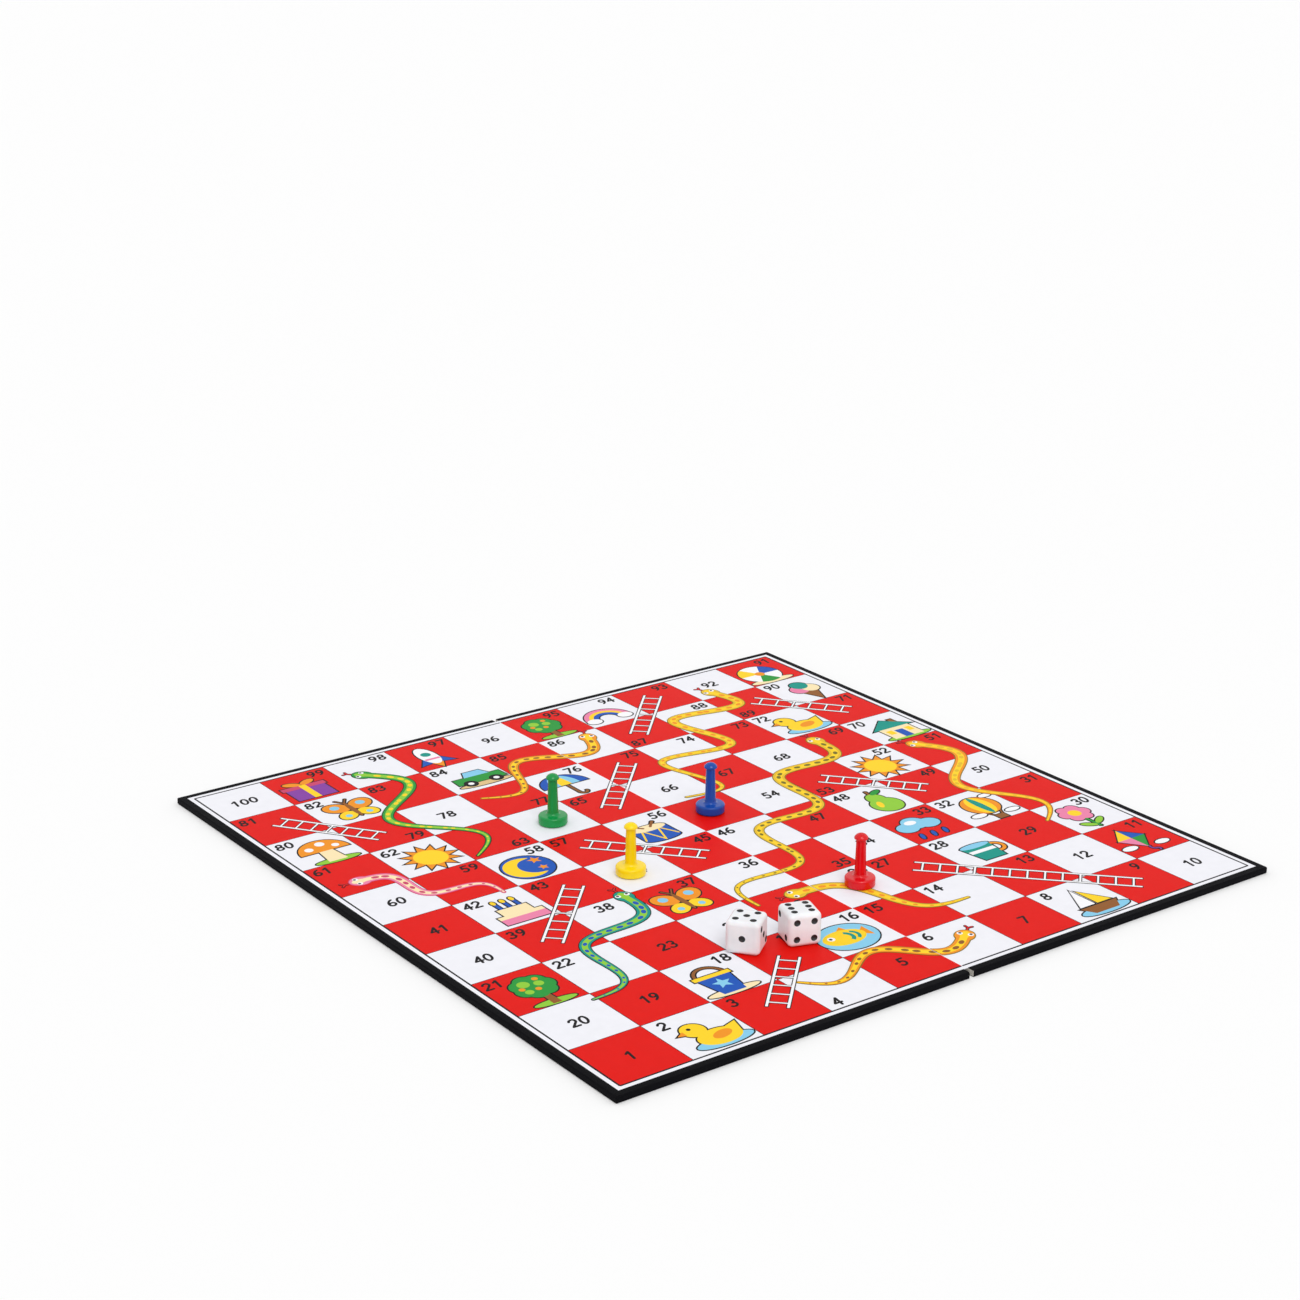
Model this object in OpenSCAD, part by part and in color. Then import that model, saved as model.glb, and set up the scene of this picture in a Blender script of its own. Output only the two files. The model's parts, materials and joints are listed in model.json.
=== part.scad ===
// Folding snakes and ladders board with four pawns and two dice, in millimetres.
// +Z is up, the fold runs along Y at X = 0, and the underside of the board lies at Z = 0.

/* [Board] */
// Side of one square of the grid
square = 28; // [22:0.5:36]
// White margin left round the grid
margin = 2; // [0.5:0.1:4]
// Black edging turned over onto the face
turn_in = 3; // [1.5:0.1:8]
// Thickness of the grey board core
core_t = 2; // [1:0.1:4]
// Thickness of the black wrap paper
wrap_t = 0.25; // [0.1:0.05:0.5]
// Thickness of the printed sheet
print_t = 0.25; // [0.1:0.05:0.5]
// Thickness of one film of printing ink
ink_t = 0.03; // [0.01:0.01:0.05]

/* [Fold] */
// Gap cut through the core and the wrap under the fold
fold_gap = 2; // [0.6:0.1:4]
// Radius of the rounded crease that the sheet turns on
crease_r = 0.15; // [0.1:0.01:0.3]
// Air between the inked face and the fold axis
fold_clear = 0.06; // [0.02:0.01:0.1]

/* [Printed figures] */
// White line left round each red square
square_inset = 0.15; // [0.05:0.05:0.5]
// Width of a ladder over its rails
ladder_w = 8; // [5:0.5:12]
// Width of a rail
rail_w = 0.9; // [0.5:0.1:1.5]
// Width of a rung
rung_w = 0.7; // [0.4:0.1:1.2]
// Distance from rung to rung
rung_pitch = 6; // [4:0.5:10]
// Width of a snake's body
snake_w = 4.8; // [3:0.2:7]
// Diameter of a snake's head
snake_head_d = 7; // [5:0.2:10]

/* [Pawns] */
// Height of a pawn
pawn_h = 20; // [16:0.5:30]
// Diameter of the base
pawn_base_d = 11.2; // [9:0.2:16]
// Height of the base
pawn_base_h = 3.6; // [2.5:0.1:5]
// Rounding of the base's two edges
pawn_base_round = 0.8; // [0.3:0.1:1.2]
// Diameter of the stem at the base
pawn_stem_d = 4.2; // [2.6:0.1:5]
// Diameter of the stem under the cap
pawn_neck_d = 3.5; // [2:0.1:4]
// Diameter of the cap
pawn_cap_d = 5; // [4.2:0.1:7]
// Height of the domed top of the cap
pawn_dome_h = 1.5; // [0.8:0.1:2]
// Height of the straight rim of the cap
pawn_rim_h = 0.5; // [0.2:0.1:1]
// Fillet between the base and the stem
pawn_fillet = 1.1; // [0.3:0.1:1.5]

/* [Dice] */
// Edge of a die
die_edge = 12; // [10:0.5:16]
// Rounding of a die's edges
die_round = 1.6; // [0.5:0.1:2.5]
// Diameter of a pip
pip_d = 2.3; // [1.5:0.1:2.8]
// Depth of a pip
pip_depth = 0.45; // [0.2:0.05:0.8]
// Distance of the outer pips from the middle of a face
pip_pitch = 3.1; // [2.6:0.1:3.3]
// Thickness of the paint in a pip
pip_paint_t = 0.12; // [0.05:0.01:0.18]
// Air round the paint in a pip
pip_clear = 0.03; // [0.01:0.01:0.1]

/* [Hidden] */
$fn = 48;

// Squares along each side of the grid
grid_count = 10;
grid = grid_count * square;
half_grid = grid / 2;
half_print = half_grid + margin;
half_board = half_print + turn_in;

// Heights in the stack of the board
core_z = wrap_t;
face_z = core_z + core_t;
print_z = face_z + print_t;
ladder_z = print_z + ink_t;
snake_z = ladder_z + ink_t;
ink_top_z = snake_z + ink_t;
fold_z = max(ink_top_z, face_z + wrap_t) + fold_clear;

// Distance from the fold line at which the turning half of the sheet and the ink films start
fold_edge = crease_r + fold_clear;

// Overrun of every cut past the surface that it opens
overrun = 1;
// Steps along a quarter turn of a profile
arc_steps = 6;
// Steps along one wave of a snake
wave_steps = 16;

// Places of the pawns, in squares from the outer corner of square 1
green_place_shares = [3.50, 6.42];
blue_place_shares = [5.45, 5.50];
yellow_place_shares = [3.37, 4.46];
red_place_shares = [5.53, 2.48];

// Place of the left die, in squares, the step from it to the right die, in die edges, and their turns
left_die_place_shares = [3.22, 1.88];
right_die_step_shares = [1.56, -0.44];
left_die_turn = -53;
right_die_turn = -18.5;

// Ladders: foot and top, in squares
ladder_shares = [
    [[1.42, 7.38], [0.52, 8.62]],
    [[4.55, 4.38], [3.42, 5.62]],
    [[4.42, 6.38], [5.58, 7.60]],
    [[1.42, 3.38], [2.58, 4.60]],
    [[8.50, 0.42], [6.48, 2.52]],
    [[8.42, 4.42], [7.42, 5.55]],
    [[2.55, 0.45], [3.50, 1.40]],
    [[6.38, 8.42], [7.50, 9.60]],
    [[9.55, 7.40], [8.60, 8.55]]
];

// Snakes: head and tail in squares, waves, and sway in squares
snake_shares = [
    [[2.30, 9.40], [2.10, 6.10], 1.5, 0.42],
    [[5.70, 8.75], [3.20, 7.70], 1.5, 0.34],
    [[8.30, 9.20], [5.50, 6.10], 2.5, 0.46],
    [[8.30, 6.70], [4.10, 2.75], 3.0, 0.34],
    [[9.40, 5.75], [8.95, 2.60], 1.5, 0.34],
    [[2.90, 3.95], [0.95, 1.85], 1.5, 0.30],
    [[4.70, 2.75], [6.40, 1.40], 1.0, 0.28],
    [[5.60, 0.60], [3.15, 0.80], 1.5, 0.24],
    [[0.45, 6.30], [1.75, 4.95], 1.5, 0.20]
];
// Width that is left at a snake's tail
tail_share = 0.2;

snake_tints = [
    "limegreen", "orange", "gold", "goldenrod", "yellow", "teal", "orange", "darkorange", "pink"
];

// A point on the board's face, from its place in squares
function on_board(place_shares) = [
    place_shares[0] * square - half_grid,
    place_shares[1] * square - half_grid
];

// The same point at the height where the loose pieces stand, clear of the ink
function on_seat(point) = concat(point, fold_z);

function arc(centre, r, start, end) = [
    for (i = [0 : arc_steps])
        let (a = start + (end - start) * i / arc_steps)
        centre + r * [cos(a), sin(a)]
];

function unit(v) = v / norm(v);

function across(v) = [-v[1], v[0]];

// Centre line of a snake at t, from 0 at the head to 1 at the tail
function snake_line(snake, t) =
    let (head = on_board(snake[0]), tail = on_board(snake[1]))
    head + t * (tail - head)
    + snake[3] * square * sin(360 * snake[2] * t) * across(unit(tail - head));

function snake_side(snake, t, side) =
    let (
        step = 1 / (wave_steps * wave_steps),
        along = unit(snake_line(snake, t + step) - snake_line(snake, t - step)),
        half_w = snake_w / 2 * (1 - (1 - tail_share) * t * t)
    )
    snake_line(snake, t) + side * half_w * across(along);

module snake_2d(snake) {
    steps = round(snake[2] * wave_steps);
    polygon(concat(
        [for (i = [0 : steps]) snake_side(snake, i / steps, 1)],
        [for (i = [steps : -1 : 0]) snake_side(snake, i / steps, -1)]
    ));
    translate(on_board(snake[0])) circle(d = snake_head_d);
}

module ladder_2d(ends) {
    foot = on_board(ends[0]);
    run = on_board(ends[1]) - foot;
    length = norm(run);
    rungs = floor(length / rung_pitch);
    translate(foot) rotate(atan2(run[1], run[0])) {
        for (side = [-1, 1])
            translate([0, side * (ladder_w - rail_w) / 2 - rail_w / 2]) square([length, rail_w]);
        for (i = [1 : rungs])
            translate([(i - 1 / 2) * length / rungs - rung_w / 2, -ladder_w / 2])
                square([rung_w, ladder_w]);
    }
}

// Half of the sheet, on side -1 (left) or 1 (right) of the fold, from its inner edge outwards
module half_sheet_2d(side, inner) {
    translate([side < 0 ? -half_print : inner, -half_print]) square([half_print - inner, 2 * half_print]);
}

// A film of ink over one half of the sheet
module film(side, z) {
    translate([0, 0, z]) linear_extrude(height = ink_t) intersection() {
        union() {
            children();
        }
        half_sheet_2d(side, fold_edge);
    }
}

module on_side(side) {
    mirror([side < 0 ? 1 : 0, 0, 0]) children();
}

module greyboard(side) {
    color("gray") on_side(side)
        translate([fold_gap / 2, wrap_t - half_board, core_z])
            cube([half_board - wrap_t - fold_gap / 2, 2 * (half_board - wrap_t), core_t]);
}

// The wrap covers the back and three edges and turns over onto the face
module wrap(side) {
    color("black") on_side(side) difference() {
        translate([fold_gap / 2, -half_board, 0])
            cube([half_board - fold_gap / 2, 2 * half_board, face_z + wrap_t]);
        translate([fold_gap / 2 - overrun, wrap_t - half_board, core_z])
            cube([half_board - wrap_t - fold_gap / 2 + overrun, 2 * (half_board - wrap_t), core_t]);
        translate([fold_gap / 2 - overrun, -half_print, core_z])
            cube([half_print - fold_gap / 2 + overrun, 2 * half_print, core_t + wrap_t + overrun]);
    }
}

module print_sheet(side) {
    color("white") translate([0, 0, face_z]) linear_extrude(height = print_t)
        half_sheet_2d(side, side < 0 ? 0 : fold_edge);
}

// The turned edge of the sheet, round about the fold axis, on its thin web
module fold_crease() {
    color("white") difference() {
        union() {
            translate([0, -half_print, fold_z]) rotate([-90, 0, 0])
                cylinder(h = 2 * half_print, r = crease_r);
            translate([-crease_r / 2, -half_print, print_z])
                cube([crease_r, 2 * half_print, fold_z - print_z]);
        }
        translate([-half_board, -half_board, -overrun])
            cube([2 * half_board, 2 * half_board, print_z + overrun]);
    }
}

module red_squares(side) {
    first = side < 0 ? 0 : grid_count / 2;
    color("red") film(side, print_z)
        for (col = [first : first + grid_count / 2 - 1], row = [0 : grid_count - 1])
            if ((col + row) % 2 == 0)
                translate(on_board([col, row]) + square_inset * [1, 1]) square(square - 2 * square_inset);
}

module ladders(side) {
    color("lightgray") film(side, ladder_z) for (ends = ladder_shares) ladder_2d(ends);
}

module snakes(side) {
    for (i = [0 : len(snake_shares) - 1])
        color(snake_tints[i]) film(side, snake_z) snake_2d(snake_shares[i]);
}

module pawn(place_shares) {
    base_r = pawn_base_d / 2;
    stem_r = pawn_stem_d / 2;
    neck_r = pawn_neck_d / 2;
    cap_r = pawn_cap_d / 2;
    flare_r = cap_r - neck_r;
    rim_z = pawn_h - pawn_dome_h - pawn_rim_h;
    dome_r = (cap_r * cap_r + pawn_dome_h * pawn_dome_h) / (2 * pawn_dome_h);
    dome_z = pawn_h - dome_r;
    outline = concat(
        [[0, 0]],
        arc([base_r - pawn_base_round, pawn_base_round], pawn_base_round, -90, 0),
        arc([base_r - pawn_base_round, pawn_base_h - pawn_base_round], pawn_base_round, 0, 90),
        arc([stem_r + pawn_fillet, pawn_base_h + pawn_fillet], pawn_fillet, 270, 180),
        arc([neck_r + flare_r, rim_z - flare_r], flare_r, 180, 90),
        arc([0, dome_z], dome_r, asin((dome_r - pawn_dome_h) / dome_r), 90)
    );
    translate(on_seat(on_board(place_shares))) rotate_extrude() polygon(outline);
}

module rounded_square(side, r) {
    square([side, side - 2 * r], center = true);
    square([side - 2 * r, side], center = true);
    for (x = [-1, 1], y = [-1, 1]) translate((side / 2 - r) * [x, y]) circle(r = r);
}

module rounded_prism() {
    linear_extrude(height = die_edge, center = true) rounded_square(die_edge, die_round);
}

// Places of the pips on a face, in steps of the pip pitch
function pip_steps(count) = concat(
    count % 2 == 1 ? [[0, 0]] : [],
    count > 1 ? [[-1, -1], [1, 1]] : [],
    count > 3 ? [[-1, 1], [1, -1]] : [],
    count > 5 ? [[-1, 0], [1, 0]] : []
);

// Puts its child at each pip, with opposite faces adding up to seven
module on_pips(top, front, right) {
    faces = [
        [top, [0, 0, 0]], [7 - top, [180, 0, 0]],
        [front, [90, 0, 0]], [7 - front, [-90, 0, 0]],
        [right, [0, 90, 0]], [7 - right, [0, -90, 0]]
    ];
    for (face = faces) rotate(face[1])
        for (p = pip_steps(face[0]))
            translate(concat(pip_pitch * p, die_edge / 2)) children();
}

module at_left_die() {
    translate(on_seat(on_board(left_die_place_shares))) rotate(left_die_turn) children();
}

module at_right_die() {
    place = on_board(left_die_place_shares) + die_edge * right_die_step_shares;
    translate(on_seat(place)) rotate(right_die_turn) children();
}

module die(top, front, right) {
    translate([0, 0, die_edge / 2]) difference() {
        intersection() {
            rounded_prism();
            rotate([90, 0, 0]) rounded_prism();
            rotate([0, 90, 0]) rounded_prism();
        }
        on_pips(top, front, right) cylinder(h = 2 * pip_depth, d = pip_d, center = true);
    }
}

module pips(top, front, right) {
    translate([0, 0, die_edge / 2]) on_pips(top, front, right)
        translate([0, 0, -pip_depth]) cylinder(h = pip_paint_t, d = pip_d - 2 * pip_clear);
}

module greyboard_left() { greyboard(-1); }
module greyboard_right() { greyboard(1); }
module wrap_left() { wrap(-1); }
module wrap_right() { wrap(1); }
module print_left() { print_sheet(-1); }
module print_right() { print_sheet(1); }
module red_squares_left() { red_squares(-1); }
module red_squares_right() { red_squares(1); }
module ladders_left() { ladders(-1); }
module ladders_right() { ladders(1); }
module snakes_left() { snakes(-1); }
module snakes_right() { snakes(1); }
module green_pawn() { color("green") pawn(green_place_shares); }
module blue_pawn() { color("mediumblue") pawn(blue_place_shares); }
module yellow_pawn() { color("gold") pawn(yellow_place_shares); }
module red_pawn() { color("crimson") pawn(red_place_shares); }
module left_die() { color("ivory") at_left_die() die(5, 1, 3); }
module left_die_pips() { color("black") at_left_die() pips(5, 1, 3); }
module right_die() { color("ivory") at_right_die() die(6, 4, 5); }
module right_die_pips() { color("black") at_right_die() pips(6, 4, 5); }

greyboard_left();
greyboard_right();
wrap_left();
wrap_right();
print_left();
print_right();
fold_crease();
red_squares_left();
red_squares_right();
ladders_left();
ladders_right();
snakes_left();
snakes_right();
green_pawn();
blue_pawn();
yellow_pawn();
red_pawn();
left_die();
left_die_pips();
right_die();
right_die_pips();
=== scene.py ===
"""Looks of a folding snakes and ladders board with its pawns and dice, built round its solids."""
import json
import math

import bmesh
import bpy
from mathutils import Matrix, Vector
from mathutils.geometry import delaunay_2d_cdt


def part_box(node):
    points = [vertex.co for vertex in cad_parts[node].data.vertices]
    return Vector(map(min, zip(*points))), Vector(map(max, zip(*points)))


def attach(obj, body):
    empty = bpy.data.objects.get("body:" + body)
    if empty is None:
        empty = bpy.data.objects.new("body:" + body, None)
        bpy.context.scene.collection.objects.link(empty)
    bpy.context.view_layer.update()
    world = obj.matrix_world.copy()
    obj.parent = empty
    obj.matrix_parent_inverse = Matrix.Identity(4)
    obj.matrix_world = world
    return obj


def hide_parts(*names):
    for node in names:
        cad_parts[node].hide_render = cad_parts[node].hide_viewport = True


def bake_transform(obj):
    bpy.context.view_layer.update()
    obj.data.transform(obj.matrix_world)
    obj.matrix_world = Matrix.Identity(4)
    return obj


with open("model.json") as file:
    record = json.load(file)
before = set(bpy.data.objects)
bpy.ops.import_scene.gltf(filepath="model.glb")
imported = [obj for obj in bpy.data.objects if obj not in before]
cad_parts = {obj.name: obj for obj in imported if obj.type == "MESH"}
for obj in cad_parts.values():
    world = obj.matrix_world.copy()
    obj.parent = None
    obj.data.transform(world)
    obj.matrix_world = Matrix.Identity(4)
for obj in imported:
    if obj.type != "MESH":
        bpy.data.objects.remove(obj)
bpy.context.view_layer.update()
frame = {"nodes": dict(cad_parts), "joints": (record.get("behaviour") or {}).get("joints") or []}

# Sizes of the board, in metres, from its solids
SQUARES = 10
MARGIN = 0.002
half_print = -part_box("print_left")[0].x
square = 2 * (half_print - MARGIN) / SQUARES
print_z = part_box("print_left")[1].z
film_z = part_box("red_squares_left")[1].z
fold_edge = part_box("print_right")[0].x
fold_z = next(j for j in frame["joints"] if j["name"] == "board_fold")["pos_m"][2]

# Levels of ink between the red squares and the height of the fold axis
INK_LEVELS = 17
LINE_LEVEL, PICTURE_LEVEL, LADDER_LEVEL, SNAKE_LEVEL = 1, 2, 8, 10
ink_step = (fold_z - film_z) / INK_LEVELS

# Colours as a screen shows them, from 0 to 255
COLOURS = {
    "ink": (22, 20, 22),
    "red": (226, 26, 32),
    "orange": (243, 150, 36),
    "yellow": (255, 214, 42),
    "gold": (233, 190, 48),
    "green": (44, 152, 62),
    "lime": (146, 205, 62),
    "teal": (22, 150, 136),
    "sky": (138, 206, 236),
    "blue": (34, 88, 184),
    "purple": (136, 66, 164),
    "pink": (238, 134, 172),
    "rose": (206, 72, 110),
    "brown": (146, 92, 44),
    "olive": (122, 112, 38),
    "cream": (252, 232, 184),
    "sand": (226, 196, 140),
    "white": (250, 250, 252),
}


def linear(red, green, blue):
    """A colour of the screen as light."""
    return tuple(((c / 255 + 0.055) / 1.055) ** 2.4 for c in (red, green, blue)) + (1.0,)


# Plane figures, as lists of points


def oval(x, y, rx, ry=None, start=0, end=360, steps=32):
    """Points round an ellipse, or along a part of it, from one angle to another."""
    ry = rx if ry is None else ry
    count = steps if abs(end - start) == 360 else steps + 1
    angles = [math.radians(start + (end - start) * i / steps) for i in range(count)]
    return [(x + rx * math.cos(a), y + ry * math.sin(a)) for a in angles]


def box(x0, y0, x1, y1):
    return [(x0, y0), (x1, y0), (x1, y1), (x0, y1)]


def star(x, y, outer, inner, points):
    rays = range(2 * points)
    ring = [((outer, inner)[i % 2], math.radians(90 + 180 * i / points)) for i in rays]
    return [(x + r * math.cos(a), y + r * math.sin(a)) for r, a in ring]


def sector(x, y, r, start, end):
    return [(x, y)] + oval(x, y, r, r, start, end)


def band(x, y, inner, outer, start, end):
    return oval(x, y, outer, outer, start, end) + oval(x, y, inner, inner, end, start)


def leaning(x, y, rx, ry, angle):
    """An ellipse that leans by an angle."""
    c, s = math.cos(math.radians(angle)), math.sin(math.radians(angle))
    return [(x + c * u - s * v, y + s * u + c * v) for u, v in oval(0, 0, rx, ry)]


def flower_ring(x, y, r, petals, petal_r):
    turns = [2 * math.pi * i / petals for i in range(petals)]
    return [oval(x + r * math.cos(a), y + r * math.sin(a), petal_r) for a in turns]


def across(line, closed=False):
    """Unit normals to the left of a line at its points."""
    count = len(line)
    found = []
    for i in range(count):
        a = line[i - 1] if closed or i else line[0]
        b = line[(i + 1) % count] if closed or i < count - 1 else line[-1]
        run, rise = b[0] - a[0], b[1] - a[1]
        length = math.hypot(run, rise)
        found.append((-rise / length, run / length))
    return found


def ribbon(line, widths, closed=False, cap_steps=8):
    """Quads along a line, with round ends. widths is one width, or one at each point."""
    count = len(line)
    if not isinstance(widths, list):
        widths = [widths] * count
    sides = across(line, closed)
    joined = list(zip(line, sides, widths))
    left = [(p[0] + w / 2 * n[0], p[1] + w / 2 * n[1]) for p, n, w in joined]
    right = [(p[0] - w / 2 * n[0], p[1] - w / 2 * n[1]) for p, n, w in joined]
    pairs = [(i, (i + 1) % count) for i in range(count if closed else count - 1)]
    quads = [[left[i], right[i], right[j], left[j]] for i, j in pairs]
    if not closed:
        for end, turn in ((0, 180), (-1, -180)):
            angle = math.degrees(math.atan2(sides[end][1], sides[end][0]))
            r = widths[end] / 2
            quads.append(oval(*line[end], r, r, angle, angle + turn, cap_steps))
    return quads


def line(width, *points):
    """Straight strokes from point to point, with round ends."""
    return [quad for a, b in zip(points, points[1:]) for quad in ribbon([a, b], width)]


def signed_area(points):
    return sum(a[0] * b[1] - b[0] * a[1] for a, b in zip(points, points[1:] + points[:1])) / 2


# How far the outline of a sharp tip may reach out: less reaches further
TIP_LIMIT = 0.2


def grown(points, by):
    """The outline of a figure, moved outwards."""
    side = math.copysign(by, signed_area(points))
    moved = []
    for before, p, after in zip(points[-1:] + points[:-1], points, points[1:] + points[:1]):
        u, v = Vector(p) - Vector(before), Vector(after) - Vector(p)
        u, v = u.normalized(), v.normalized()
        lean = Vector((u.y + v.y, -u.x - v.x))
        reach = side / max(lean.length_squared / 2, TIP_LIMIT)
        moved.append((p[0] + lean.x * reach, p[1] + lean.y * reach))
    return moved


def moved_to(points, x, y, scale):
    return [(x + scale * u, y + scale * v) for u, v in points]


# Numbers: the strokes of each digit, in a box 1 high

DIGIT_BOX = 0.6
STROKE_WIDTH = 0.17
DIGIT_STROKES = {
    "0": ribbon(oval(0.30, 0.50, 0.22, 0.41), STROKE_WIDTH, True),
    "1": line(STROKE_WIDTH, (0.14, 0.74), (0.34, 0.91), (0.34, 0.09)),
    "2": ribbon(oval(0.28, 0.68, 0.21, 0.22, 165, -38, 14) + [(0.08, 0.10)], STROKE_WIDTH)
    + line(STROKE_WIDTH, (0.08, 0.09), (0.53, 0.09)),
    "3": ribbon(oval(0.27, 0.70, 0.19, 0.20, 150, -75, 14), STROKE_WIDTH)
    + ribbon(oval(0.27, 0.30, 0.23, 0.21, 82, -145, 14), STROKE_WIDTH),
    "4": line(STROKE_WIDTH, (0.42, 0.09), (0.42, 0.90), (0.07, 0.35), (0.56, 0.35)),
    "5": line(STROKE_WIDTH, (0.50, 0.91), (STROKE_WIDTH, 0.91), (0.13, 0.54))
    + ribbon(oval(0.26, 0.34, 0.23, 0.25, 122, -140, 14), STROKE_WIDTH),
    "6": ribbon(oval(0.52, 0.34, 0.44, 0.58, 106, 176, 10), STROKE_WIDTH)
    + ribbon(oval(0.30, 0.30, 0.21, 0.21), STROKE_WIDTH, True),
    "7": line(STROKE_WIDTH, (0.08, 0.91), (0.53, 0.91), (0.24, 0.09)),
    "8": ribbon(oval(0.30, 0.70, 0.175, 0.19), STROKE_WIDTH, True)
    + ribbon(oval(0.30, 0.29, 0.215, 0.20), STROKE_WIDTH, True),
    "9": ribbon(oval(0.29, 0.68, 0.20, 0.22), STROKE_WIDTH, True)
    + ribbon(oval(0.00, 0.62, 0.49, 0.56, 8, -62, 10), STROKE_WIDTH),
}
DIGIT_STEP = 0.66
DIGIT_LEAN = 0.14
NUMBER_HEIGHT = 0.205


def number_figure(number, x, y):
    """The strokes of a number, round a middle given in squares."""
    digits = str(number)
    quads = []
    for i, digit in enumerate(digits):
        start = DIGIT_STEP * (i - len(digits) / 2) + (DIGIT_STEP - DIGIT_BOX) / 2
        for stroke in DIGIT_STROKES[digit]:
            leaned = [(u + start + DIGIT_LEAN * (v - 0.5), v - 0.5) for u, v in stroke]
            quads.append(moved_to(leaned, x, y, NUMBER_HEIGHT))
    return quads


# Pictures: layers of colour from the back to the front, in a box from -1 to 1

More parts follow.
